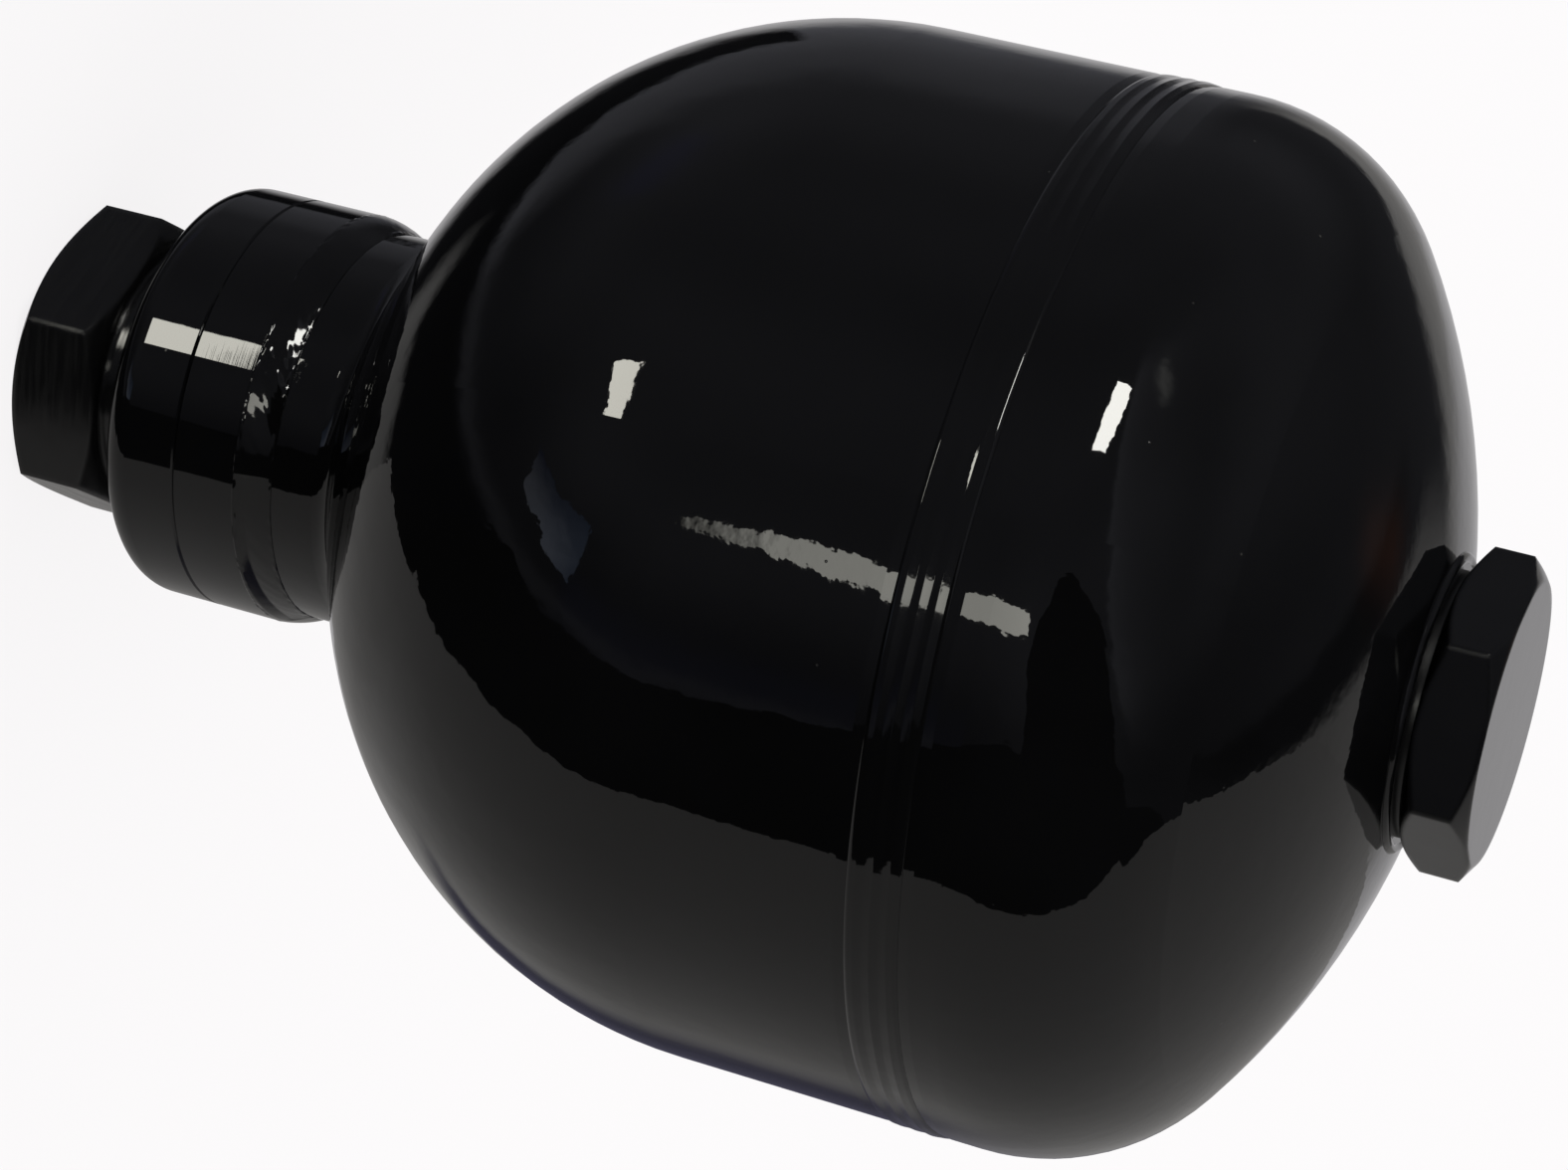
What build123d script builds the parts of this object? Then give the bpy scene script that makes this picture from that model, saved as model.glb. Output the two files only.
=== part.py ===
"""Welded-shell bladder accumulator, about one litre, standing on its fluid port.

The axis is Z. The fluid port's end face lies on Z = 0 and the gas end points up. Millimetres.
Threads are plain cylinders at their minor radius in a hole, and just inside it on a shank.
"""
from build123d import *
from math import asin, atan2, cos, degrees, radians, sin, sqrt, tan
import os

# ---- shell: two deep-drawn steel halves, butt welded ----
shell_d = 121.0
shell_wall = 5.0
fluid_straight = 28.8       # cylindrical length of the fluid half, dome to seam
fluid_dome_r = 56.0         # outside radius of the dome's arc, a little under the shell's own radius
gas_straight = 7.2
gas_knuckle_r = 24.8
gas_crown_r = 88.0

# ---- circumferential seam weld ----
seam_root_w = 1.0
seam_cap_w = 6.0
seam_waist_w = 1.2          # on both sides of the cap, weld shrinkage draws the shell in over this length
seam_waist = 0.1            # and by this much
seam_valley_h = 0.12        # how far the cap stands out of the shell between its ridges
seam_ridge_h = 0.42         # each welding pass leaves a fine ridge this high
seam_ridge_top_w = 0.5
seam_ridge_at = (-2.2, 0.0, 2.2)    # ridge centres along the axis, from the seam's middle

# ---- fluid port neck: a turned sleeve, threaded right through ----
neck_d = 50.0
neck_length = 20.3          # from its end face to the joint with the shell's stem
neck_to_dome = 31.0         # from the neck's end face to the dome, measured at the neck's own radius
neck_rim_r = 3.9
neck_line_from_face = 10.3  # a fine turned line around the neck
neck_line_w = 0.5
neck_line_depth = 0.25
neck_thread_r = 12.06       # G 3/4 female, minor radius

# ---- stem: the thick forged outlet in the middle of the fluid dome, which carries the neck ----
stem_d = 47.0
stem_fillet_r = 4.0         # between the stem and the dome
stem_passage_d = 20.0
spigot_in = 1.5             # how far the stem's centring spigot enters the neck
spigot_gap = 0.1

# ---- neck weld ----
neck_weld_w = 4.3           # width of the cap
neck_weld_root_r = 19.0
neck_weld_bulge = 0.3       # how far the cap stands out past its chord

# ---- port adapter: hexagon end with the fluid connection ----
port_hex_af = 34.0
port_hex_h = 11.0
port_spigot_d = 31.0
port_spigot_h = 5.2
port_thread_r = 9.3155      # G 1/2 female, minor radius
port_thread_depth = 15.0
port_mouth_chamfer = 1.2
adapter_bore_d = 15.0
adapter_shank_length = 15.5
thread_gap = 0.05           # radial gap of every plain-cylinder thread

# ---- port adapter's face seal ----
port_seal_w = 1.8
port_seal_h = 1.6

# ---- button and its seat ----
button_d = 30.0
button_h = 3.0
button_guide_gap = 0.4      # radial gap of the button in its recess
button_chamfer = 0.8
button_stem_d = 12.0
button_stem_h = 1.4
button_flange_d = 20.0
button_flange_h = 1.2
seat_depth = 3.6            # recess of the button's seat below the dome's inner surface at its edge

# ---- bladder: moulded rubber cup ----
bladder_wall = 2.5
bladder_gap = 0.3           # between the resting bladder and the steel around it
bladder_cover = 2.0         # rubber over the button's mushroom head
bladder_floor_flare = 5.0   # how far the thick floor reaches past the button
bead_from_seam = 8.0        # top of the clamped bead, below the seam's middle
bead_h = 8.0
bead_t = 3.6

# ---- clamp ring and weld backing ring ----
clamp_ring_w = 2.6
clamp_ring_below_bead = 3.0
clamp_flange_h = 3.0
backing_ring_t = 2.0
ring_gap = 0.1

# ---- gas boss, plug and bonded seal ----
gas_boss_d = 31.6
gas_boss_h = 17.0
gas_land_rise = 0.15        # how far the boss's land stands out of the dome at its edge
gas_bead_w = 1.3            # fine weld bead around the boss
gas_bead_h = 0.45
plug_hex_af = 32.0
plug_hex_h = 7.7
plug_turn = -13.5           # how far round the plug's hexagon stands from the port's
plug_thread_r = 10.19       # M22 x 1.5, minor radius of its hole
plug_shank_length = 10.5
plug_relief_d = 19.0
plug_relief_h = 1.6
plug_pilot_d = 6.0          # passage below the plug
boss_thread_depth = 12.5
seal_t = 1.0
seal_edge = 0.7             # how far the boss's land shows outside the seal
seal_lip_w = 1.55           # rubber lip, from the shank's clearance out to the steel ring

hex_chamfer_angle = 32.0
edge_break = 0.4

# ---- stations along the axis ----
shell_r = shell_d / 2
inner_r = shell_r - shell_wall
neck_r = neck_d / 2
neck_face_z = port_hex_h + port_spigot_h
neck_joint_z = neck_face_z + neck_length
fluid_arc_r = shell_r - fluid_dome_r
fluid_tangent_z = neck_face_z + neck_to_dome + sqrt(fluid_dome_r ** 2 - (neck_r - fluid_arc_r) ** 2)
seam_z = fluid_tangent_z + fluid_straight
gas_tangent_z = seam_z + gas_straight
gas_crown_z = gas_tangent_z - sqrt((gas_crown_r - gas_knuckle_r) ** 2 - (shell_r - gas_knuckle_r) ** 2)


def fluid_dome_angle(radius, inset=0.0):
    """Slope of the fluid dome at a radius, a given distance inside its outer surface, in radians."""
    return asin((radius - fluid_arc_r) / (fluid_dome_r - inset))


def fluid_dome_point(angle, inset=0.0):
    """Point (radius, height) of the fluid dome at a slope, a given distance inside its outer surface."""
    reach = fluid_dome_r - inset
    return fluid_arc_r + reach * sin(angle), fluid_tangent_z - reach * cos(angle)


def fluid_dome_z(radius, inset=0.0):
    """Height of the fluid dome at a radius, a given distance inside its outer surface."""
    return fluid_dome_point(fluid_dome_angle(radius, inset), inset)[1]


def gas_dome_z(radius, inset=0.0):
    """Height of the gas dome's crown at a radius, a given distance inside its outer surface."""
    return gas_crown_z + sqrt((gas_crown_r - inset) ** 2 - radius ** 2)


port_seal_mid_r = (neck_thread_r + port_spigot_d / 2) / 2
seal_lip_inner_r = plug_thread_r + thread_gap
seal_steel_inner_r = seal_lip_inner_r + seal_lip_w
seat_z = fluid_dome_z(button_d / 2, shell_wall) - seat_depth
button_top_z = seat_z + button_h
land_z = gas_dome_z(gas_boss_d / 2) + gas_land_rise
plug_z = land_z + seal_t


# ---- helpers ----
def chain(*points):
    """Straight edges through points of (radius, height)."""
    return list(Polyline(*points).edges())


def turned(edges):
    """Revolve a closed profile, drawn as (radius, height), about the axis."""
    return revolve(Plane.XZ * make_face(edges), Axis.Z)


def turned_outline(*points):
    """Revolve a closed outline of straight lines, drawn as (radius, height), about the axis."""
    return turned(chain(*points, points[0]))


def angle_of(point, centre):
    """Direction from a centre to a point, in degrees."""
    return degrees(atan2(point[1] - centre[1], point[0] - centre[0]))


def arc_between(centre, radius, start, end):
    """The shorter arc about a centre between the directions of two points."""
    first = angle_of(start, centre)
    turn = (angle_of(end, centre) - first + 180) % 360 - 180
    return list(CenterArc(centre, radius, first, turn).edges())


def fluid_arc(inset, start, end):
    """Arc of the fluid dome between two points, a given distance inside its outer surface."""
    return arc_between((fluid_arc_r, fluid_tangent_z), fluid_dome_r - inset, start, end)


def fluid_head(inset, hole_angle):
    """The fluid dome's arc, from a hole's edge out to the tangent line, and its two ends."""
    start = fluid_dome_point(hole_angle, inset)
    end = (shell_r - inset, fluid_tangent_z)
    return fluid_arc(inset, start, end), start, end


def gas_head(inset, hole_r):
    """The gas dome's crown and knuckle arcs, from a hole's edge to the tangent line, and the two ends."""
    crown_r = gas_crown_r - inset
    knuckle_centre = (shell_r - gas_knuckle_r, gas_tangent_z)
    scale = crown_r / (gas_crown_r - gas_knuckle_r)
    joint = (knuckle_centre[0] * scale, gas_crown_z + (gas_tangent_z - gas_crown_z) * scale)
    start = (hole_r, gas_dome_z(hole_r, inset))
    end = (shell_r - inset, gas_tangent_z)
    crown_arc = arc_between((0, gas_crown_z), crown_r, start, joint)
    knuckle_arc = arc_between(knuckle_centre, gas_knuckle_r - inset, joint, end)
    return crown_arc + knuckle_arc, start, end


def hexagon(across_flats, low_z, height, turn, low_face_d, top_face_d):
    """A hexagon prism whose corners are turned down to a circle on both end faces."""
    corner_r = across_flats / sqrt(3)
    prism = extrude(RegularPolygon(across_flats / 2, 6, major_radius=False, rotation=turn), height)
    slope = tan(radians(hex_chamfer_angle))
    low_drop = (corner_r - low_face_d / 2) * slope
    top_drop = (corner_r - top_face_d / 2) * slope
    blank = turned_outline((0, 0), (low_face_d / 2, 0), (corner_r, low_drop),
                           (corner_r, height - top_drop), (top_face_d / 2, height), (0, height))
    return Pos(0, 0, low_z) * (prism & blank)


def ring(inner_radius, outer_radius, low_z, high_z):
    """A plain ring of rectangular section."""
    return turned_outline((inner_radius, low_z), (outer_radius, low_z),
                          (outer_radius, high_z), (inner_radius, high_z))


# ---- shell halves ----
def seam_bevel(outer_end, inner_end, seam_side):
    """The cylinder, waist and bevel for the seam weld, from a dome's outer end to its inner end."""
    return chain(outer_end, (shell_r, seam_z + seam_side * (seam_cap_w / 2 + seam_waist_w)),
                 (shell_r - seam_waist, seam_z + seam_side * seam_cap_w / 2),
                 (inner_r, seam_z + seam_side * seam_root_w / 2), inner_end)


def make_fluid_shell():
    """Long half: centring spigot, stem, fillet, dome and the button's seat."""
    stem_r = stem_d / 2
    passage_r = stem_passage_d / 2
    spigot_r = neck_thread_r - spigot_gap
    recess_r = button_d / 2 + button_guide_gap
    spigot_z = neck_joint_z - spigot_in
    fillet_centre_r = stem_r + stem_fillet_r
    fillet_reach = fluid_dome_r + stem_fillet_r
    fillet_angle = asin((fillet_centre_r - fluid_arc_r) / fillet_reach)
    fillet_centre = (fillet_centre_r, fluid_tangent_z - fillet_reach * cos(fillet_angle))
    foot = fluid_dome_point(fillet_angle)
    outer_end = (shell_r, fluid_tangent_z)
    inner_end = (inner_r, fluid_tangent_z)
    recess = (recess_r, fluid_dome_z(recess_r, shell_wall))
    fillet = arc_between(fillet_centre, stem_fillet_r, (stem_r, fillet_centre[1]), foot)
    middle = chain(recess, (recess_r, seat_z), (passage_r + edge_break, seat_z),
                   (passage_r, seat_z - edge_break), (passage_r, spigot_z), (spigot_r, spigot_z),
                   (spigot_r, neck_joint_z), (neck_weld_root_r, neck_joint_z),
                   (stem_r, neck_joint_z + neck_weld_w / 2), (stem_r, fillet_centre[1]))
    return turned(middle + fillet + fluid_arc(0, foot, outer_end) + seam_bevel(outer_end, inner_end, -1)
                  + fluid_arc(shell_wall, inner_end, recess))


def make_gas_shell():
    """Short half with the flatter dome and the hole for the gas boss."""
    outer, outer_start, outer_end = gas_head(0, gas_boss_d / 2)
    inner, inner_start, inner_end = gas_head(shell_wall, gas_boss_d / 2)
    return turned(outer + seam_bevel(outer_end, inner_end, 1) + inner + chain(inner_start, outer_start))


def make_seam_weld():
    """Butt weld between the halves, its cap left with the fine ridges of the passes."""
    ridge_r = shell_r + seam_ridge_h
    valley_r = shell_r + seam_valley_h
    toe_r = shell_r - seam_waist
    top = [(toe_r, seam_z - seam_cap_w / 2)]
    for middle in seam_ridge_at:
        if len(top) > 1:
            top.append((valley_r, (top[-1][1] + seam_z + middle - seam_ridge_top_w / 2) / 2))
        top.append((ridge_r, seam_z + middle - seam_ridge_top_w / 2))
        top.append((ridge_r, seam_z + middle + seam_ridge_top_w / 2))
    top.append((toe_r, seam_z + seam_cap_w / 2))
    return turned_outline(*top, (inner_r, seam_z + seam_root_w / 2), (inner_r, seam_z - seam_root_w / 2))


# ---- fluid end ----
def make_port_neck():
    """Turned sleeve: rounded rim, fine line, thread right through, bevel for the neck weld."""
    rim_centre = (neck_r - neck_rim_r, neck_face_z + neck_rim_r)
    line_z = neck_face_z + neck_line_from_face
    sides = chain((rim_centre[0], neck_face_z), (neck_thread_r + edge_break, neck_face_z),
                  (neck_thread_r, neck_face_z + edge_break), (neck_thread_r, neck_joint_z),
                  (neck_weld_root_r, neck_joint_z), (neck_r, neck_joint_z - neck_weld_w / 2),
                  (neck_r, line_z + neck_line_w / 2), (neck_r - neck_line_depth, line_z),
                  (neck_r, line_z - neck_line_w / 2), (neck_r, rim_centre[1]))
    rim = CenterArc(rim_centre, neck_rim_r, -90, 90).edges()
    return turned(sides + list(rim))


def make_neck_weld():
    """V weld that joins the neck to the shell's thinner stem, its cap sloping from one to the other."""
    low = (neck_r, neck_joint_z - neck_weld_w / 2)
    high = (stem_d / 2, neck_joint_z + neck_weld_w / 2)
    crest = ((low[0] + high[0]) / 2 + neck_weld_bulge, neck_joint_z)
    cap = ThreePointArc(low, crest, high).edges()
    return turned(list(cap) + chain(high, (neck_weld_root_r, neck_joint_z), low))


def make_port_adapter():
    """Hexagon end with the G 1/2 connection, a round spigot and the shank screwed into the neck."""
    corner_r = port_hex_af / sqrt(3)
    face_d = port_hex_af - 0.2
    body = hexagon(port_hex_af, 0, port_hex_h, 0, face_d, face_d)
    shank_r = neck_thread_r - thread_gap
    shank_end = neck_face_z + adapter_shank_length
    body += turned_outline((0, port_hex_h), (port_spigot_d / 2, port_hex_h), (port_spigot_d / 2, neck_face_z),
                           (shank_r, neck_face_z), (shank_r, shank_end - edge_break),
                           (shank_r - edge_break, shank_end), (0, shank_end))
    mouth_r = port_thread_r + port_mouth_chamfer
    body -= turned_outline((0, 0), (mouth_r, 0), (port_thread_r, port_mouth_chamfer),
                           (port_thread_r, port_thread_depth), (adapter_bore_d / 2, port_thread_depth),
                           (adapter_bore_d / 2, shank_end), (0, shank_end))
    groove_r = port_seal_mid_r - port_seal_w / 2
    body -= ring(groove_r, groove_r + port_seal_w, neck_face_z - port_seal_h, neck_face_z)
    return body


def make_port_seal():
    """Soft seal ring in the groove of the adapter's face, pressed flat against the neck."""
    low = neck_face_z - port_seal_h
    inner = port_seal_mid_r - port_seal_w / 2
    outer = inner + port_seal_w
    corner = edge_break / 2
    return turned_outline((inner + corner, low), (outer - corner, low), (outer, low + corner),
                          (outer, neck_face_z - corner), (outer - corner, neck_face_z),
                          (inner + corner, neck_face_z), (inner, neck_face_z - corner), (inner, low + corner))


# ---- separator ----
def make_button():
    """Steel button that closes the port, with the mushroom head that the rubber holds."""
    radius = button_d / 2
    stem_r = button_stem_d / 2
    flange_r = button_flange_d / 2
    stem_z = button_top_z + button_stem_h
    flange_z = stem_z + button_flange_h
    return turned_outline((0, seat_z), (radius - button_chamfer, seat_z), (radius, seat_z + button_chamfer),
                          (radius, button_top_z), (stem_r, button_top_z), (stem_r, stem_z),
                          (flange_r, stem_z), (flange_r, flange_z), (0, flange_z))


def make_bladder(button):
    """Moulded cup that lines the fluid half, with the clamped bead and the floor over the button."""
    outer_inset = shell_wall + bladder_gap
    inner_inset = outer_inset + bladder_wall
    bead_top = seam_z - bead_from_seam
    bead_low = bead_top - bead_h
    cup_r = shell_r - outer_inset
    floor_r = button_d / 2 + bladder_floor_flare
    outer, outer_start, outer_end = fluid_head(outer_inset, fluid_dome_angle(button_d / 2, outer_inset))
    inner, inner_start, inner_end = fluid_head(inner_inset, fluid_dome_angle(floor_r, inner_inset))
    corner = bead_t / 3
    bead = chain(outer_end, (cup_r, bead_top - corner), (cup_r - corner, bead_top),
                 (cup_r - bead_t + corner, bead_top), (cup_r - bead_t, bead_top - corner),
                 (cup_r - bead_t, bead_low + corner), (cup_r - bladder_wall, bead_low), inner_end)
    floor_top = button_top_z + button_stem_h + button_flange_h + bladder_cover
    floor = chain(inner_start, (button_d / 2, floor_top), (0, floor_top), (0, button_top_z),
                  (button_d / 2, button_top_z), outer_start)
    return turned(outer + bead + inner + floor) - button


def make_clamp_ring():
    """Steel ring that presses the bladder's bead against the shell, with a flange over the bead."""
    bead_top = seam_z - bead_from_seam
    bead_inner_r = inner_r - bladder_gap - bead_t
    outer = bead_inner_r - ring_gap
    inner = outer - clamp_ring_w
    low = bead_top - bead_h - clamp_ring_below_bead
    flange_low = bead_top + ring_gap
    flange_r = inner_r - ring_gap
    top = flange_low + clamp_flange_h
    return turned_outline((inner, low + edge_break), (inner + edge_break, low), (outer, low),
                          (outer, flange_low), (flange_r, flange_low), (flange_r, top), (inner, top))


def make_backing_ring():
    """Thin strip ring behind the seam that carries the weld's root."""
    low = seam_z - bead_from_seam + ring_gap + clamp_flange_h
    high = 2 * seam_z - low
    return ring(inner_r - backing_ring_t, inner_r, low, high)


# ---- gas end ----
def make_gas_boss():
    """Threaded bush set into the gas dome, its land faced flat for the plug's seal."""
    outer_r = gas_boss_d / 2
    low = land_z - gas_boss_h
    body = turned_outline((0, low), (outer_r - edge_break, low), (outer_r, low + edge_break),
                          (outer_r, land_z), (0, land_z))
    mouth = plug_thread_r + edge_break
    floor_z = land_z - boss_thread_depth
    body -= turned_outline((0, land_z), (mouth, land_z), (plug_thread_r, land_z - edge_break),
                           (plug_thread_r, floor_z), (plug_pilot_d / 2, floor_z), (plug_pilot_d / 2, low), (0, low))
    return body


def make_boss_weld():
    """Fine bead that seals the edge between the gas boss and the dome."""
    inner = gas_boss_d / 2
    outer = inner + gas_bead_w
    top = ThreePointArc((inner, land_z), (inner + gas_bead_w / 2, land_z + gas_bead_h / 2),
                        (outer, gas_dome_z(outer))).edges()
    under = arc_between((0, gas_crown_z), gas_crown_r, (outer, gas_dome_z(outer)), (inner, gas_dome_z(inner)))
    return turned(list(top) + under + chain((inner, gas_dome_z(inner)), (inner, land_z)))


def make_gas_plug():
    """Hexagon plug with both ends chamfered, a relief under the head and a plain shank."""
    shank_r = plug_thread_r - thread_gap
    end = plug_z - plug_shank_length
    head = hexagon(plug_hex_af, plug_z, plug_hex_h, plug_turn, plug_hex_af - 0.6, plug_hex_af)
    shank = turned_outline((0, plug_z), (plug_relief_d / 2, plug_z), (plug_relief_d / 2, plug_z - plug_relief_h),
                           (shank_r, plug_z - plug_relief_h - edge_break), (shank_r, end + edge_break),
                           (shank_r - edge_break, end), (0, end))
    return head + shank


def make_seal_washer():
    """Steel ring of the bonded seal under the plug's head."""
    return ring(seal_steel_inner_r, gas_boss_d / 2 - seal_edge, land_z, plug_z)


def make_seal_lip():
    """Rubber lip bonded inside the seal's steel ring."""
    inner = seal_lip_inner_r
    outer = seal_steel_inner_r
    middle = (inner + outer) / 2
    bevel = (middle - inner) / 3
    return turned_outline((outer, land_z), (outer, plug_z), (inner + bevel, plug_z), (inner, plug_z - bevel),
                          (inner, land_z + bevel), (inner + bevel, land_z))


def build():
    """All nodes by name."""
    button = make_button()
    return {
        "fluid_shell": make_fluid_shell(),
        "gas_shell": make_gas_shell(),
        "seam_weld": make_seam_weld(),
        "port_neck": make_port_neck(),
        "neck_weld": make_neck_weld(),
        "port_adapter": make_port_adapter(),
        "port_seal": make_port_seal(),
        "button": button,
        "bladder": make_bladder(button),
        "clamp_ring": make_clamp_ring(),
        "backing_ring": make_backing_ring(),
        "gas_boss": make_gas_boss(),
        "boss_weld": make_boss_weld(),
        "gas_plug": make_gas_plug(),
        "seal_washer": make_seal_washer(),
        "seal_lip": make_seal_lip(),
    }


os.makedirs("parts", exist_ok=True)
for name, solid in build().items():
    export_step(solid, f"parts/{name}.step")
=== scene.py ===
from math import asin, cos, exp, pi, radians, sin, sqrt

import bpy
from mathutils import Matrix, Vector, noise

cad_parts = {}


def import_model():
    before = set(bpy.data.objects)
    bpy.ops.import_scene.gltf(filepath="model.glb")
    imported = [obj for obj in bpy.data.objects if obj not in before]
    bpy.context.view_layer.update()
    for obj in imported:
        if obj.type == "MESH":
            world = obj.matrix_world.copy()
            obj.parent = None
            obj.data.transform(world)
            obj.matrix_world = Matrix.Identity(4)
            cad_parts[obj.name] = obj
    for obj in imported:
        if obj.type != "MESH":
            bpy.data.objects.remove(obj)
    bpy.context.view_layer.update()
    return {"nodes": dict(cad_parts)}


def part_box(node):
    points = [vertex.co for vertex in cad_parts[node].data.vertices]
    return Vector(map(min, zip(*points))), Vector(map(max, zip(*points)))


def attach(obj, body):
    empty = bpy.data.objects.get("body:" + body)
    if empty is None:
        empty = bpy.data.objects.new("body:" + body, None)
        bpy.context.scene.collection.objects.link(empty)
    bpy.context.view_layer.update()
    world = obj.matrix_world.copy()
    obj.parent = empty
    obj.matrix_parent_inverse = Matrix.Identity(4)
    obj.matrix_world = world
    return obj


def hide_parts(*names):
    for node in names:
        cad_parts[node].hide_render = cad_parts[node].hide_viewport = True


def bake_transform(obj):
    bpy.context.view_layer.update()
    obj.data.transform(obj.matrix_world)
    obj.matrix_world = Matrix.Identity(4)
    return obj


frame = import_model()
NODES = frame["nodes"]
MM = 0.001


# ---- stations of the part, read from the frame ----
def high(node):
    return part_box(node)[1]


def low(node):
    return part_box(node)[0]


SHELL_R = high("gas_shell").x
NECK_R = high("port_neck").x
SEAM_LOW = low("seam_weld").z
SEAM_HIGH = high("seam_weld").z
WELD_LOW = low("neck_weld").z
WELD_HIGH = high("neck_weld").z
TABLE_Y = SHELL_R + 2.5 * MM     # the pale table beside the shell, as the glossy paint sees it

# ---- the camera's axes ----
VIEW_BACK = Vector((0.9449, 0.1043, 0.3103)).normalized()
VIEW_RIGHT = Vector((-0.2703, -0.2860, 0.9193))
VIEW_RIGHT = (VIEW_RIGHT - VIEW_BACK * VIEW_RIGHT.dot(VIEW_BACK)).normalized()
VIEW_UP = VIEW_BACK.cross(VIEW_RIGHT)


# ---- material helpers ----
class Nodes:
    """Short hand for building a node tree."""

    def __init__(self, name):
        self.material = bpy.data.materials.new(name)
        self.material.use_nodes = True
        self.tree = self.material.node_tree
        self.tree.nodes.clear()
        self.out = self.add("ShaderNodeOutputMaterial")

    def add(self, kind, inputs=None, **settings):
        node = self.tree.nodes.new(kind)
        for key, value in settings.items():
            setattr(node, key, value)
        for key, value in (inputs or {}).items():
            self.put(node.inputs[key], value)
        return node

    def put(self, socket, value):
        if isinstance(value, bpy.types.NodeSocket):
            self.tree.links.new(value, socket)
        else:
            socket.default_value = value

    def place(self):
        return self.add("ShaderNodeTexCoord").outputs["Object"]

    def stretched(self, scale, rotation=(0, 0, 0)):
        node = self.add("ShaderNodeMapping", {"Vector": self.place(), "Scale": scale, "Rotation": rotation})
        return node.outputs["Vector"]

    def noise(self, vector, scale, detail=2.0, rough=0.5):
        node = self.add("ShaderNodeTexNoise", {"Vector": vector, "Scale": scale, "Detail": detail,
                                               "Roughness": rough})
        return node.outputs["Fac"]

    def cells(self, vector, scale, feature="F1"):
        node = self.add("ShaderNodeTexVoronoi", {"Vector": vector, "Scale": scale}, feature=feature)
        return node.outputs["Distance"], node.outputs["Color"]

    def math(self, operation, a, b=0.0):
        node = self.add("ShaderNodeMath", operation=operation)
        self.put(node.inputs[0], a)
        self.put(node.inputs[1], b)
        return node.outputs[0]

    def ramp(self, value, low_in, high_in, low_out=0.0, high_out=1.0):
        node = self.add("ShaderNodeMapRange", {"Value": value, "From Min": low_in, "From Max": high_in,
                                               "To Min": low_out, "To Max": high_out}, clamp=True)
        return node.outputs["Result"]

    def blend(self, amount, a, b):
        node = self.add("ShaderNodeMix", data_type="RGBA")
        self.put(node.inputs[0], amount)
        self.put(node.inputs[6], a)
        self.put(node.inputs[7], b)
        return node.outputs[2]

    def rounded(self, radius):
        return self.add("ShaderNodeBevel", {"Radius": radius}, samples=6).outputs["Normal"]

    def bump(self, height, distance, strength=1.0, normal=None):
        node = self.add("ShaderNodeBump", {"Height": height, "Distance": distance, "Strength": strength})
        if normal is not None:
            self.put(node.inputs["Normal"], normal)
        return node.outputs["Normal"]

    def surface(self, **inputs):
        shader = self.add("ShaderNodeBsdfPrincipled")
        for key, value in inputs.items():
            self.put(shader.inputs[key.replace("_", " ")], value)
        self.tree.links.new(shader.outputs[0], self.out.inputs["Surface"])
        return self.material


def dust_mask(n, scale=400.0, amount=0.04):
    """Rare small specks: 1 on a speck."""
    distance, colour = n.cells(n.place(), scale)
    size = n.ramp(distance, 0.03, 0.075, 1.0, 0.0)
    pick = n.add("ShaderNodeSeparateColor", {"Color": colour}).outputs[0]
    return n.math("MULTIPLY", size, n.ramp(pick, 1.0 - amount, 1.0 - amount * 0.6))


def enamel(name, tone=0.0023, gloss=0.022, peel=1.0, wave=1.0, dust=0.04):
    """Thick gloss-black enamel: orange peel, slow waves and runs, dust caught in the paint."""
    n = Nodes(name)
    place = n.place()
    fine = n.noise(place, 640.0, 2.0, 0.5)
    middle = n.noise(place, 250.0, 2.0, 0.5)
    slow = n.noise(place, 95.0, 2.0, 0.5)
    broad = n.noise(place, 26.0, 1.0, 0.4)
    speck = dust_mask(n, amount=dust)
    cloud = n.noise(place, 38.0, 4.0, 0.6)
    colour = n.blend(n.ramp(cloud, 0.35, 0.7), (tone * 0.8, tone * 0.8, tone * 0.85, 1),
                     (tone * 1.25, tone * 1.25, tone * 1.4, 1))
    colour = n.blend(n.math("MULTIPLY", speck, 0.25), colour, (0.3, 0.29, 0.26, 1))
    rub = n.noise(n.stretched((60, 60, 900)), 1.0, 3.0, 0.6)
    rough = n.math("ADD", n.ramp(rub, 0.5, 0.8, gloss, gloss * 1.8), n.math("MULTIPLY", speck, 0.3))
    normal = n.bump(broad, 0.00010 * wave)
    normal = n.bump(slow, 0.000036 * wave, normal=normal)
    normal = n.bump(middle, 0.000024 * peel, normal=normal)
    normal = n.bump(fine, 0.000009 * peel, normal=normal)
    normal = n.bump(speck, 0.00003, normal=normal)
    return n.surface(Base_Color=colour, Roughness=rough, IOR=1.5, Normal=normal)


def weld_enamel(name):
    """The same enamel where it has run thick over a weld."""
    return enamel(name, tone=0.0025, gloss=0.045, peel=1.5, wave=1.0, dust=0.05)


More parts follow.
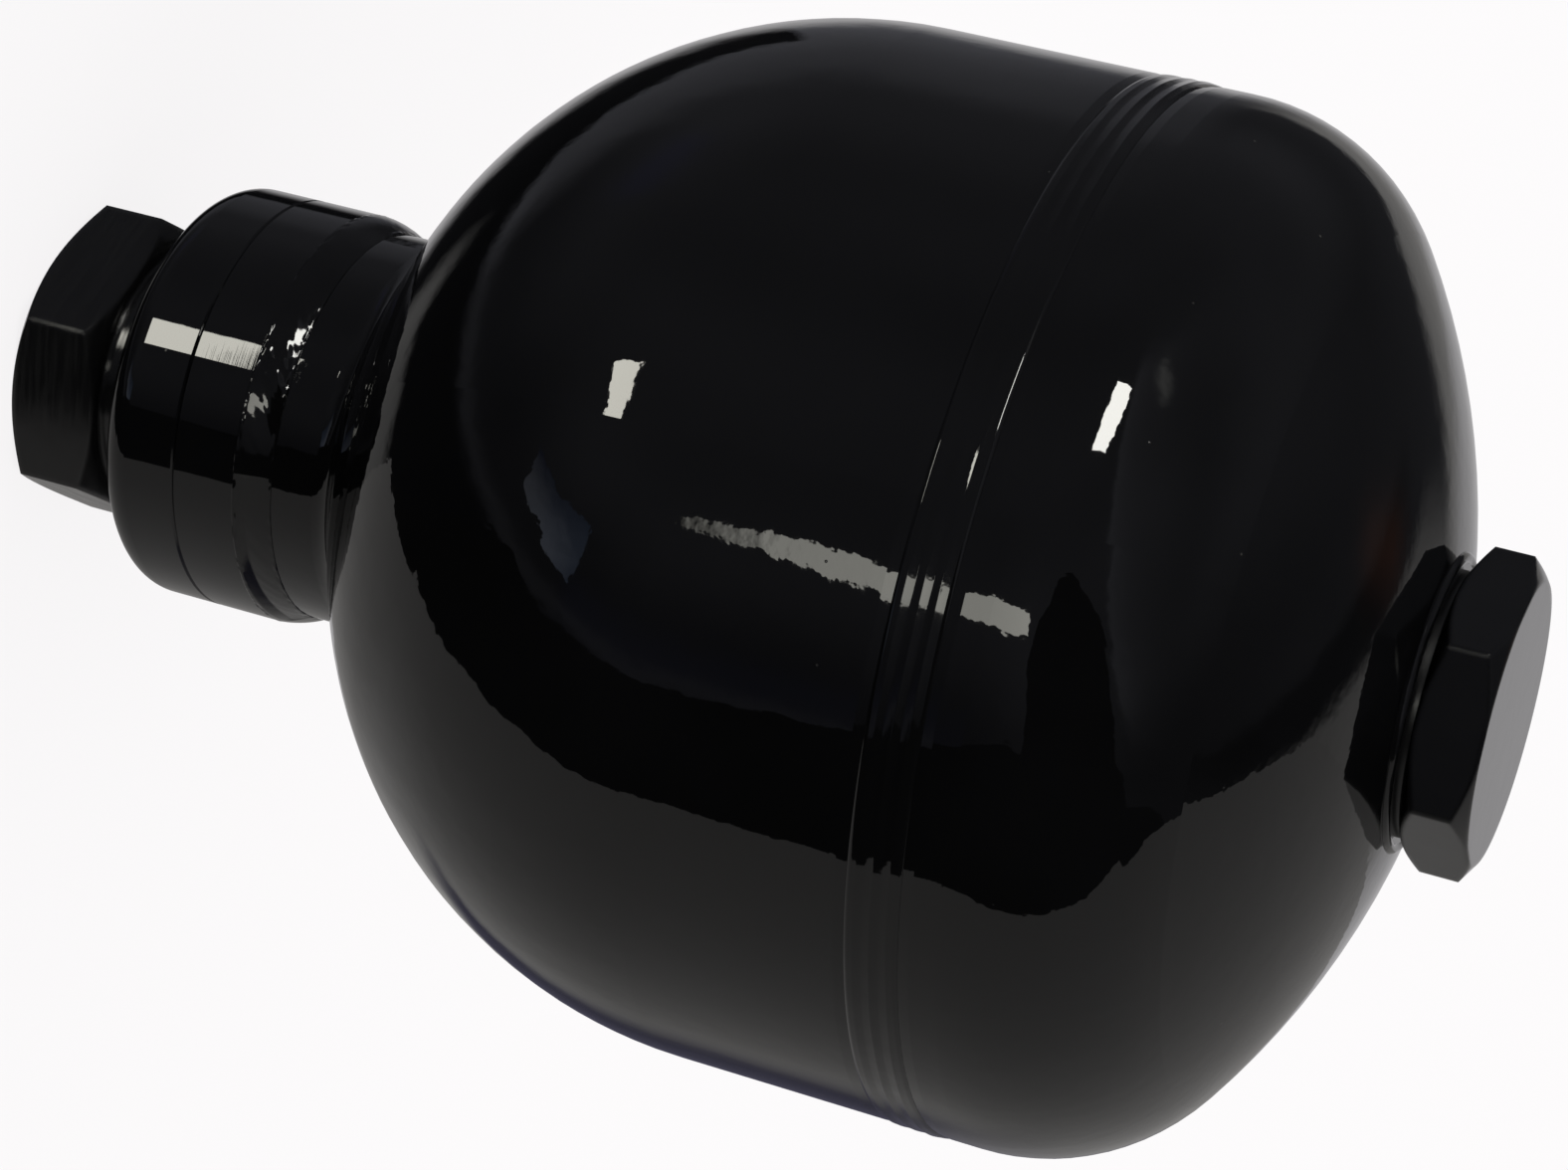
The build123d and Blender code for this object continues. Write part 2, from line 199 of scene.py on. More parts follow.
def turned_enamel(name, tone=0.0026, gloss=0.03):
    """Thinner enamel over a turned surface: fine rings show through."""
    n = Nodes(name)
    place = n.place()
    rings = n.noise(n.stretched((25, 25, 5200)), 1.0, 2.0, 0.6)
    slow = n.noise(place, 110.0, 2.0, 0.5)
    fine = n.noise(place, 500.0, 2.0, 0.5)
    speck = dust_mask(n, amount=0.04)
    cloud = n.noise(place, 60.0, 4.0, 0.6)
    colour = n.blend(n.ramp(cloud, 0.35, 0.7), (tone * 0.8, tone * 0.8, tone * 0.9, 1),
                     (tone * 1.3, tone * 1.3, tone * 1.4, 1))
    colour = n.blend(n.math("MULTIPLY", speck, 0.5), colour, (0.28, 0.27, 0.24, 1))
    rough = n.math("ADD", n.ramp(cloud, 0.4, 0.7, gloss, gloss * 1.7), n.math("MULTIPLY", speck, 0.3))
    normal = n.bump(slow, 0.000026)
    normal = n.bump(rings, 0.0000022, normal=normal)
    normal = n.bump(fine, 0.000004, normal=normal)
    return n.surface(Base_Color=colour, Roughness=rough, IOR=1.5, Normal=normal)


def hexagon_enamel(name, tone=0.0055):
    """Satin enamel over milled flats: streaks across the axis, glints along the rounded edges."""
    n = Nodes(name)
    place = n.place()
    streak = n.noise(n.stretched((110, 110, 1500)), 1.0, 3.0, 0.65)
    slow = n.noise(place, 140.0, 2.0, 0.5)
    speck = dust_mask(n, amount=0.06)
    cloud = n.noise(place, 90.0, 4.0, 0.6)
    colour = n.blend(n.ramp(streak, 0.4, 0.75), (tone * 0.75, tone * 0.75, tone * 0.8, 1),
                     (tone * 1.5, tone * 1.5, tone * 1.5, 1))
    colour = n.blend(n.math("MULTIPLY", speck, 0.4), colour, (0.25, 0.24, 0.22, 1))
    rough = n.math("ADD", n.ramp(streak, 0.35, 0.7, 0.12, 0.2), n.ramp(cloud, 0.4, 0.8, 0.0, 0.06))
    normal = n.bump(slow, 0.00003, normal=n.rounded(0.0011))
    normal = n.bump(streak, 0.000006, normal=normal)
    return n.surface(Base_Color=colour, Roughness=rough, IOR=1.5, Normal=normal)


def plug_enamel(name, tone=0.003):
    """Gloss enamel over the plug: smooth flats, faint turning rings on the end face."""
    n = Nodes(name)
    place = n.place()
    split = n.add("ShaderNodeSeparateXYZ", {"Vector": place})
    radius = n.math("SQRT", n.math("ADD", n.math("MULTIPLY", split.outputs[0], split.outputs[0]),
                                   n.math("MULTIPLY", split.outputs[1], split.outputs[1])))
    rings = n.noise(n.add("ShaderNodeCombineXYZ", {"X": n.math("MULTIPLY", radius, 2600.0)}).outputs[0],
                    1.0, 2.0, 0.6)
    slow = n.noise(place, 150.0, 2.0, 0.5)
    fine = n.noise(place, 520.0, 2.0, 0.5)
    cloud = n.noise(place, 80.0, 4.0, 0.6)
    speck = dust_mask(n, amount=0.04)
    colour = n.blend(n.ramp(cloud, 0.35, 0.7), (tone * 0.8, tone * 0.8, tone * 0.9, 1),
                     (tone * 1.4, tone * 1.4, tone * 1.5, 1))
    colour = n.blend(n.math("MULTIPLY", speck, 0.5), colour, (0.28, 0.27, 0.24, 1))
    rough = n.ramp(cloud, 0.4, 0.75, 0.035, 0.07)
    normal = n.bump(slow, 0.00002, normal=n.rounded(0.0009))
    normal = n.bump(rings, 0.0000015, normal=normal)
    normal = n.bump(fine, 0.000003, normal=normal)
    return n.surface(Base_Color=colour, Roughness=rough, IOR=1.5, Normal=normal)


def bare_steel(name):
    """Turned steel inside the shell."""
    n = Nodes(name)
    rings = n.noise(n.stretched((30, 30, 6000)), 1.0, 2.0, 0.6)
    cloud = n.noise(n.place(), 70.0, 4.0, 0.6)
    colour = n.blend(n.ramp(cloud, 0.3, 0.7), (0.42, 0.42, 0.43, 1), (0.52, 0.51, 0.5, 1))
    rough = n.ramp(cloud, 0.3, 0.7, 0.25, 0.4)
    return n.surface(Base_Color=colour, Roughness=rough, Metallic=1.0, Normal=n.bump(rings, 0.000006))


def rubber(name, tone=0.02):
    """Moulded nitrile rubber: matt, faintly blotchy."""
    n = Nodes(name)
    grain = n.noise(n.place(), 1500.0, 3.0, 0.6)
    cloud = n.noise(n.place(), 60.0, 4.0, 0.6)
    colour = n.blend(n.ramp(cloud, 0.3, 0.7), (tone * 0.8, tone * 0.8, tone * 0.8, 1),
                     (tone * 1.3, tone * 1.28, tone * 1.25, 1))
    rough = n.ramp(cloud, 0.3, 0.7, 0.55, 0.7)
    return n.surface(Base_Color=colour, Roughness=rough, Normal=n.bump(grain, 0.00003))


# ---- mesh helpers ----
def new_object(name, verts, faces, smooth=True):
    mesh = bpy.data.meshes.new(name)
    mesh.from_pydata([tuple(v) for v in verts], [], faces)
    mesh.validate()
    if smooth:
        mesh.polygons.foreach_set("use_smooth", [True] * len(mesh.polygons))
    obj = bpy.data.objects.new(name, mesh)
    bpy.context.scene.collection.objects.link(obj)
    return obj


def revolved(name, outline, count, shift=None, closed=True):
    """Turn an outline of (radius, height) about the axis; shift(i, angle) gives (radial, axial) moves."""
    rows = len(outline)
    verts = []
    for k in range(count):
        a = 2 * pi * k / count
        for i, (r, z) in enumerate(outline):
            dr, dz = shift(i, a) if shift else (0.0, 0.0)
            verts.append(((r + dr) * cos(a), (r + dr) * sin(a), z + dz))
    faces = []
    last = rows if closed else rows - 1
    for k in range(count):
        n = (k + 1) % count
        for i in range(last):
            j = (i + 1) % rows
            faces.append((k * rows + i, n * rows + i, n * rows + j, k * rows + j))
    return new_object(name, verts, faces)


def dress(obj, material):
    obj.data.materials.clear()
    obj.data.materials.append(material)


def around(angle, period, seed):
    """Smooth noise that closes on itself round the axis, about -1 to 1."""
    k = period / (2 * pi)
    return noise.noise(Vector((cos(angle) * k + seed, sin(angle) * k, seed * 1.7))) * 2.0


# ---- seam weld ----
def seam_piece(material):
    """The cap of the seam weld: three fine ridges that wander and swell as the passes did."""
    toe = SHELL_R - 0.1 * MM
    crest = high("seam_weld").x
    valley = SHELL_R + 0.10 * MM
    middle = (SEAM_LOW + SEAM_HIGH) / 2
    half = (SEAM_HIGH - SEAM_LOW) / 2
    across = 90
    ridges = ((-1.9 * MM, 0.5), (-0.1 * MM, 0.85), (1.75 * MM, 1.0))     # centre and height of each
    ridge_half_width = 1.05 * MM
    toe_run = 0.5 * MM

    def height(t, angle):
        s = t * half
        edge = min(1.0, (half - abs(s)) / toe_run)
        base = toe + (valley - toe) * sin(edge * pi / 2)
        top = 0.0
        for k, (centre, tall) in enumerate(ridges):
            wander = 0.10 * MM * around(angle, 9.0, 3.1 * k + 1) + 0.04 * MM * around(angle, 40.0, 5.3 * k)
            swell = tall * (0.8 + 0.2 * around(angle, 14.0, 7.7 * k + 2) + 0.1 * around(angle, 90.0, 2.2 * k))
            d = abs(s - centre - wander) / ridge_half_width
            top = max(top, (crest - valley) * 0.5 * swell * max(0.0, 1.0 - d) ** 1.5)
        return min(base + top, crest)

    outline = [(0.0, middle + (2 * i / (across - 1) - 1) * half) for i in range(across)]
    root = -low("backing_ring").x
    outline += [(root, middle + 0.5 * MM), (root, middle - 0.5 * MM)]

    def shift(i, angle):
        if i >= across:
            return 0.0, 0.0
        return height(2 * i / (across - 1) - 1, angle), 0.0

    piece = revolved("seam_weld_cap", outline, 900, shift)
    dress(piece, material)
    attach(piece, "accumulator")
    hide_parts("seam_weld")


# ---- neck weld ----
def neck_weld_piece(material):
    """The hand-laid bead between neck and stem: dotted toes, a lumpy start and stop, one long bite."""
    foot = (high("neck_weld").x, WELD_LOW)
    top = (NECK_R - 1.5 * MM, WELD_HIGH)
    slant = sqrt((foot[0] - top[0]) ** 2 + (top[1] - foot[1]) ** 2)
    out_r, out_z = (top[1] - foot[1]) / slant, (foot[0] - top[0]) / slant
    across = 48
    stop = radians(-4)
    bite_start, bite_length, bite_depth = radians(28), radians(64), 0.62 * MM
    flank_width, bite_end = 0.26, 0.98

    def near(angle, centre, width):
        d = (angle - centre + pi) % (2 * pi) - pi
        return exp(-(d / width) ** 2)

    def undercut(t, angle):
        """A long bite beside the neck where the last pass started: a steep flank that faces the dome."""
        along = (angle - bite_start) / bite_length
        if along < 0.0 or along > 1.0:
            return 0.0
        edge = 0.01 + 0.22 * along ** 2
        flank = min(1.0, max(0.0, (t - edge) / flank_width))
        back = 1.0 - min(1.0, max(0.0, (t - edge - flank_width) / (bite_end - edge - flank_width)))
        return -bite_depth * sin(pi * along) ** 0.5 * flank * back

    def lift(t, angle):
        body = sin(pi * t) ** 0.8
        rough = 0.22 + 0.6 * near(angle, stop, radians(14))
        lump = 0.26 * MM + 0.10 * MM * around(angle, 7.0, 2.0)
        ripple = 0.05 * MM * around(angle + 0.09 * cos(pi * t), 95.0, 4.0) * rough
        dots = 0.10 * MM * around(angle, 130.0, 8.0 + 3.0 * round(t)) * (0.35 + rough)
        toe = dots * (exp(-((t - 0.05) / 0.04) ** 2) + exp(-((t - 0.94) / 0.04) ** 2))
        crater = near(angle, stop, radians(8)) * (0.10 * MM * around(angle + 0.02 * t, 42.0, 11.0 + 0.6 * t)
                                                  + 0.05 * MM * sin(4 * pi * t))
        return body * (lump + ripple + crater) + toe + undercut(t, angle)

    root_r = NECK_R - 6 * MM
    outline = [(0.0, 0.0)] * across + [(root_r, (WELD_LOW + WELD_HIGH) / 2)]

    def shift(i, angle):
        if i >= across:
            return 0.0, 0.0
        t = i / (across - 1)
        d = lift(t, angle)
        return foot[0] + (top[0] - foot[0]) * t + out_r * d, foot[1] + (top[1] - foot[1]) * t + out_z * d

    piece = revolved("neck_weld_bead", outline, 1200, shift)
    dress(piece, material)
    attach(piece, "accumulator")
    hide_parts("neck_weld")


# ---- bladder ----
FLUID_STRAIGHT = 28.8 * MM      # seam to the start of the fluid dome
ARC_OFFSET = 4.5 * MM           # the dome's arc is this far off the axis
CUP_WALL = 2.5 * MM
BEAD_T = 3.6 * MM
BEAD_H = 8.0 * MM
FLOOR_T = 4.6 * MM


def bladder_piece(material):
    """The moulded rubber cup: domed floor, thin wall with shallow fold ribs, rounded bead at the rim."""
    cup_r = high("bladder").x
    rim_z = high("bladder").z
    floor_z = low("bladder").z
    tangent_z = (SEAM_LOW + SEAM_HIGH) / 2 - FLUID_STRAIGHT
    arc_r = cup_r - ARC_OFFSET
    hole_r = high("button").x
    bead_low = rim_z - BEAD_H

    def arc(inset, r_from, r_to, count):
        """Points of the dome, inset from its outside, between two radii."""
        radius = arc_r - inset
        start = asin(min(1.0, (r_from - ARC_OFFSET) / radius))
        end = asin(min(1.0, (r_to - ARC_OFFSET) / radius))
        return [(ARC_OFFSET + radius * sin(start + (end - start) * k / count),
                 tangent_z - radius * cos(start + (end - start) * k / count)) for k in range(count + 1)]

    corner = BEAD_T / 3
    outline = [(0.2 * MM, floor_z)] + [(hole_r * k / 6, floor_z) for k in range(1, 6)]
    outline += arc(0.0, hole_r, cup_r, 40)
    outline += [(cup_r, tangent_z + (rim_z - corner - tangent_z) * k / 8) for k in range(1, 9)]
    outline += [(cup_r - corner * 0.3, rim_z - corner * 0.3), (cup_r - corner, rim_z)]
    outline += [(cup_r - BEAD_T + corner, rim_z), (cup_r - BEAD_T + corner * 0.3, rim_z - corner * 0.3)]
    outline += [(cup_r - BEAD_T, rim_z - corner), (cup_r - BEAD_T, bead_low + corner)]
    outline += [(cup_r - BEAD_T + corner * 0.4, bead_low + corner * 0.3), (cup_r - CUP_WALL, bead_low)]
    inside = len(outline)
    outline += [(cup_r - CUP_WALL, tangent_z + (bead_low - tangent_z) * k / 5) for k in range(4, 0, -1)]
    outline += arc(CUP_WALL, hole_r + 5 * MM, cup_r - CUP_WALL, 40)[::-1]
    outline += [(hole_r * k / 6, floor_z + FLOOR_T) for k in range(6, 0, -1)]
    outline += [(0.2 * MM, floor_z + FLOOR_T)]

    def shift(i, angle):
        r, z = outline[i]
        if i <= inside or r < hole_r + 8 * MM:
            return 0.0, 0.0
        fade = min(1.0, (r - hole_r - 8 * MM) / (10 * MM))
        return 0.25 * MM * fade * (max(0.0, cos(8 * angle)) ** 6 - 1.0), 0.0

    piece = revolved("bladder_rubber_cup", outline, 192, shift)
    dress(piece, material)
    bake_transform(piece)
    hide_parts("bladder")


# ---- stage ----
# Most of this stage exists only to be reflected. Its outlines, directions and tones aren't worked out from
# the frame. The corners of panes b and c, the sky's directions and the planes CURTAIN and WALL were copied
# from the output of a separate reflection study. The rest was set by hand after reading such output.
CURTAIN, CURTAIN_OFFSET = Vector((-0.226, -0.717, -0.660)), 0.019
WALL, WALL_OFFSET = Vector((0.874, 0.244, 0.420)), 0.685


def only_in_gloss(obj):
    """The piece is seen in the gloss of the paint and nowhere else."""
    obj.visible_camera = False
    obj.visible_diffuse = False
    obj.visible_transmission = False
    obj.visible_volume_scatter = False
    obj.visible_shadow = False


def glow(name, strength, colour=(1, 1, 1)):
    """A plain light-giving surface."""
    material = bpy.data.materials.new(name)
    material.use_nodes = True
    tree = material.node_tree
    tree.nodes.clear()
    out = tree.nodes.new("ShaderNodeOutputMaterial")
    emit = tree.nodes.new("ShaderNodeEmission")
    emit.inputs["Color"].default_value = (*colour, 1)
    emit.inputs["Strength"].default_value = strength
    tree.links.new(emit.outputs[0], out.inputs["Surface"])
    return material


def card(name, corners, strength, colour=(1, 1, 1)):
    """A flat card that only the gloss of the paint sees."""
    obj = new_object(name, corners, [tuple(range(len(corners)))], smooth=False)
    dress(obj, glow(name, strength, colour))
    only_in_gloss(obj)


def shaded_card(name, verts, faces, lights):
    """A surface whose light is given at each of its points."""
    obj = new_object(name, verts, faces, smooth=False)
    layer = obj.data.color_attributes.new("light", "FLOAT_COLOR", "POINT")
    layer.data.foreach_set("color", [part for light in lights for part in (*light, 1.0)])
    material = glow(name, 1.0)
    source = material.node_tree.nodes.new("ShaderNodeAttribute")
    source.attribute_name = "light"
    emit = next(node for node in material.node_tree.nodes if node.type == "EMISSION")
    material.node_tree.links.new(source.outputs["Color"], emit.inputs["Color"])
    dress(obj, material)
    only_in_gloss(obj)


def rise(value, start, end):
    """0 before start, 1 after end, smooth between."""
    t = min(1.0, max(0.0, (value - start) / (end - start)))
    return t * t * (3 - 2 * t)


def patch(w, a, b, size):
    """1 on the arc between two directions, fading over size."""
    a, b = Vector(a), Vector(b)
    k = min(1.0, max(0.0, (w - a).dot(b - a) / (b - a).length_squared))
    d = (w - a - (b - a) * k).length / size
    return exp(-d * d)


def room_light(w):
    """Light of the room in a direction, given along the camera's right, up and back axes."""
    right, up, back = w
    shade = 0.9 + 0.25 * noise.noise(w * 2.3)
    lum = 0.112 * shade
    curtain = w.dot(CURTAIN) - CURTAIN_OFFSET
    lum *= 0.42 + 0.58 * rise(-curtain, 0.08, 0.5)
    lum += (0.15 - lum) * rise(-back, 0.35, 0.55) * (1.0 - rise(right, 0.1, 0.3))
    if curtain > 0.0 and right < 0.0:
        lum += (0.010 - lum) * rise(curtain, 0.02, 0.05)
    lum += 0.05 * exp(-(curtain / 0.035) ** 2) * rise(-right, 0.45, 0.6)
    tint = Vector((0.97, 0.98, 1.10))
    wall = w.dot(WALL) - WALL_OFFSET
    lit = (1.0 - rise(up, 0.66, 0.78)) * (1.0 - rise(right, 0.45, 0.95 - 0.3 * rise(up, 0.2, 0.5)))
    lit *= rise(up, -0.55, -0.3)
    lum += 0.15 * lit * rise(wall, -0.012, 0.012) * exp(-max(0.0, wall) / 0.09)
    light = tint * lum
    strip_edge = 0.52 + 0.10 * rise(up, 0.24, 0.38)
    high_strip = rise(-back, strip_edge, strip_edge + 0.07) * rise(-right, 0.5, 0.6)
    high_strip *= (1.0 - rise(up, 0.38, 0.6)) * rise(up, 0.05, 0.12)
    horizon = w.dot(Vector((0.46, 0.81, 0.36))) + 0.485
    low_strip = rise(-right, 0.4, 0.6) * (1.0 - rise(up, 0.14, 0.24)) * rise(-back, 0.1, 0.2)
    low_strip *= rise(-horizon, -0.02, 0.05)
    light += (Vector((0.24, 0.236, 0.232)) - light) * max(high_strip, low_strip)
    sweep = w.dot(Vector((0.399, 0.691, 0.603))) - 0.02
    light *= 1.0 - 0.75 * rise(right, 0.84, 0.92) * (1.0 - rise(sweep, 0.08, 0.12))
    beside = 1.0 - rise(up, -0.12, 0.08) * (1.0 - rise(-back, 0.69, 0.76))
    light += (Vector((0.32, 0.312, 0.305)) - light) * rise(-sweep, 0.0, 0.05) * rise(right, 0.2, 0.4) * beside
    nearer = rise(right, -0.2, 0.4) * (1.0 - 0.9 * rise(up, 0.0, 0.2))
    backdrop = rise(-back, 0.85 - 0.14 * nearer, 0.95 - 0.12 * nearer)
    white = Vector((0.52, 0.51, 0.52)) * (1.0 - 0.75 * rise(up, 0.45, 0.7) * rise(right, -0.4, -0.15))
    # Painted shadow: below and to the left the backdrop turns a dark lilac, the table's contact shadow.
    white += (Vector((0.15, 0.145, 0.20)) - white) * rise(-up, 0.12, 0.3) * (1.0 - rise(right, 0.1, 0.35))
    light += (white - light) * backdrop
    light += Vector((0.012, 0.014, 0.035)) * patch(w, (-0.82, -0.18, 0.54), (-0.63, -0.36, 0.69), 0.08)
    light += Vector((0.0, 0.0, 0.04)) * patch(w, (-0.45, 0.88, -0.16), (-0.35, 0.92, -0.20), 0.08)
    light += Vector((0.42, 0.42, 0.39)) * patch(w, (0.42, 0.66, 0.63), (0.47, 0.58, 0.66), 0.035)
    light += Vector((0.07, 0.025, 0.012)) * patch(w, (0.93, -0.04, -0.34), (0.90, -0.04, -0.42), 0.06)
    return light


def room():
    """The room round the object, as its gloss sees it."""
    rows, count, radius = 120, 240, 3.0
    verts, lights = [], []
    for i in range(rows + 1):
        fall = pi * i / rows
        for k in range(count):
            turn = 2 * pi * k / count
            w = Vector((sin(fall) * cos(turn), sin(fall) * sin(turn), cos(fall)))
            verts.append((VIEW_RIGHT * w.x + VIEW_UP * w.y + VIEW_BACK * w.z) * radius)
            lights.append(tuple(max(0.0, part) for part in room_light(w)))
    faces = []
    for i in range(rows):
        for k in range(count):
            n = (k + 1) % count
            faces.append((i * count + k, i * count + n, (i + 1) * count + n, (i + 1) * count + k))
    shaded_card("stage_room", verts, faces, lights)


def table_cards():
    """The pale table beside the shell with a painted contact shadow and painted light on it, and the dark
    room beyond its edge.
    """
    y = TABLE_Y
    pale = [(-1.6, -4.0), (-0.62, -2.8), (-0.062, -0.527), (-0.004, -0.29), (0.022, -0.177), (0.042, -0.094),
            (0.051, -0.042), (0.055, 0.006), (0.059, 0.032), (0.060, 0.06), (0.0585, 0.081), (0.0583, 0.135),
            (0.053, 0.157), (0.048, 0.19), (0.040, 0.23), (-0.001, 0.305), (-0.11, 0.462), (-1.6, 2.5)]
    card("stage_table", [(x, y, z) for x, z in pale], 0.30, (1.0, 0.975, 0.955))
    dark = [(-0.2, -1.0), (0.04, -0.32), (0.10, -0.23), (0.155, -0.12), (0.145, -0.06),
            (0.113, 0.02), (0.104, 0.056), (0.098, 0.085), (0.103, 0.107), (0.114, 0.125),
            (0.121, 0.145), (0.082, 0.206), (0.05, 0.255), (0.02, 0.27)]
    card("stage_dark", [(x, y + 4 * MM, z) for x, z in dark], 0.010)
    shadow_x, shadow_z = (-0.17, 0.05), (-0.08, 0.20)
    count = 110
    verts, lights = [], []
    for i in range(count + 1):
        for k in range(count + 1):
            x = shadow_x[0] + (shadow_x[1] - shadow_x[0]) * i / count
            z = shadow_z[0] + (shadow_z[1] - shadow_z[0]) * k / count
            # Painted shadow and painted light: the table darkens to a bluish-dark contact shadow where the
            # shell meets it, and is lifted on the shell's far side.
            inside = rise(z, 0.035, 0.06) * (1.0 - rise(z, 0.12, 0.15))
            bright = 0.07 * rise(z, -0.06, 0.03) * (1.0 - rise(z, 0.12, 0.19)) * rise(-x, -0.045, 0.0)
            edge = 0.0125 - 0.012 * (1.0 - rise(z, 0.055, 0.095))
            painted_shadow = inside * rise(edge - x, 0.0, 0.008)
            verts.append((x, y - 0.5 * MM, z))
            lights.append((0.30 + bright - 0.295 * painted_shadow, 0.2925 + bright - 0.29 * painted_shadow,
                           0.2865 + bright - 0.25 * painted_shadow))
    row = count + 1
    faces = [(i * row + k, (i + 1) * row + k, (i + 1) * row + k + 1, i * row + k + 1)
             for i in range(count) for k in range(count)]
    shaded_card("stage_painted_contact_shadow", verts, faces, lights)


def person_card():
    """A dark upright shape beside the camera."""
    distance = 0.42
    middle = Vector((0.058, 0.012, 0.143))
    rows = [((0.96, 0.0, 0.2), (0.94, -0.03, 0.3)), ((0.97, 0.21, 0.12), (0.80, 0.09, 0.59)),
            ((0.93, 0.36, 0.12), (0.60, 0.29, 0.74)), ((0.85, 0.49, 0.19), (0.40, 0.43, 0.81)),
            ((0.7, 0.68, 0.2), (0.1, 0.5, 0.86))]
    left = [middle + Vector(a).normalized() * distance for a, b in rows]
    right = [middle + Vector(b).normalized() * distance for a, b in rows]
    card("stage_tripod", left + right[::-1], 0.009, (1.0, 0.9, 0.88))


def stage():
    """A white floor that keeps the object's shadow. The gloss doesn't see it."""
    corners = [(-6, -6, 0), (6, -6, 0), (6, 6, 0), (-6, 6, 0)]
    floor = new_object("stage_floor", corners, [(0, 1, 2, 3)], smooth=False)
    n = Nodes("stage_floor")
    path = n.add("ShaderNodeLightPath")
    wash = n.add("ShaderNodeEmission", {"Color": (1.0, 0.985, 0.992, 1),
                                        "Strength": path.outputs["Is Camera Ray"]})
    cloth = n.add("ShaderNodeBsdfDiffuse", {"Color": (0.96, 0.95, 0.955, 1)})
    both = n.add("ShaderNodeMixShader", {0: 0.15, 1: wash.outputs[0], 2: cloth.outputs[0]})
    n.tree.links.new(both.outputs[0], n.out.inputs["Surface"])
    dress(floor, n.material)
    floor.visible_glossy = False


def world():
    """Soft even light on the object, white behind it, and a dim room where the gloss sees past the cards."""
    scene = bpy.context.scene
    scene.world = bpy.data.worlds.new("studio")
    scene.world.use_nodes = True
    tree = scene.world.node_tree
    tree.nodes.clear()
    out = tree.nodes.new("ShaderNodeOutputWorld")
    path = tree.nodes.new("ShaderNodeLightPath")
    room_tone = tree.nodes.new("ShaderNodeBackground")
    room_tone.inputs["Color"].default_value = (0.98, 0.98, 1.08, 1)
    room_tone.inputs["Strength"].default_value = 0.1
    soft = tree.nodes.new("ShaderNodeBackground")
    soft.inputs["Strength"].default_value = 1.0
    white = tree.nodes.new("ShaderNodeBackground")
    white.inputs["Color"].default_value = (1.0, 0.985, 0.992, 1)
    white.inputs["Strength"].default_value = 0.995
    first = tree.nodes.new("ShaderNodeMixShader")
    second = tree.nodes.new("ShaderNodeMixShader")
    tree.links.new(path.outputs["Is Glossy Ray"], first.inputs[0])
    tree.links.new(soft.outputs[0], first.inputs[1])
    tree.links.new(room_tone.outputs[0], first.inputs[2])
    tree.links.new(path.outputs["Is Camera Ray"], second.inputs[0])
    tree.links.new(first.outputs[0], second.inputs[1])
    tree.links.new(white.outputs[0], second.inputs[2])
    tree.links.new(second.outputs[0], out.inputs["Surface"])


def sun():
    """A weak broad sun that rounds the matt pieces."""
    data = bpy.data.lights.new("stage_sun", "SUN")
    data.energy = 0.4
    data.angle = radians(25)
    obj = bpy.data.objects.new("stage_sun", data)
    obj.rotation_euler = (radians(-25), radians(30), 0)
    obj.visible_glossy = False
    bpy.context.scene.collection.objects.link(obj)


